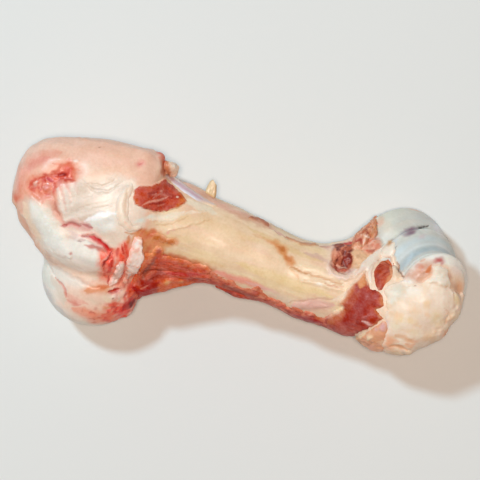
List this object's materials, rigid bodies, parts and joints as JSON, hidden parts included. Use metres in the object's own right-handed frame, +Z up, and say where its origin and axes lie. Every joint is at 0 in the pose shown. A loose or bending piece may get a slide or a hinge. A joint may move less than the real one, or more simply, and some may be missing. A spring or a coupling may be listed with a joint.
{
  "type": "raw veal marrow bone",
  "caption": "Whole raw calf humerus with scraps of meat, fat and sinew, for stock or roasting. Ball joint at one end, ridged spool joint at the other.",
  "frame": {"origin": "middle of the part's plan, on the table it lies on", "axes": "+X along the bone from the shoulder end to the elbow end, +Y across it to its front edge, +Z up from the table"},
  "size_m": [0.24, 0.097, 0.0759],
  "materials": {
    "bone": "moist periosteum and joint capsule over bone, cream to peach, with smooth grey-blue cartilage on the joint ends and blood stains",
    "fat": "soft white to cream fat and fascia, slightly wet",
    "sinew": "white and silvery tendon and ligament, glossy",
    "meat": "raw dark red muscle with fine grain, moist"
  },
  "bodies": {
    "root": {"humerus": "bone", "fat_pad": "fat", "fat_flap": "fat", "fat_fold": "fat", "ligament_band": "sinew", "tendon": "sinew", "capsule_flap": "sinew", "capsule_strip": "sinew", "tissue_tag": "sinew", "cuff_flap": "sinew", "meat_neck": "meat", "meat_nub": "meat", "meat_shaft": "meat", "meat_strip": "meat", "meat_elbow": "meat", "meat_sliver": "meat", "fibres_elbow": "meat"}
  },
  "joints": []
}
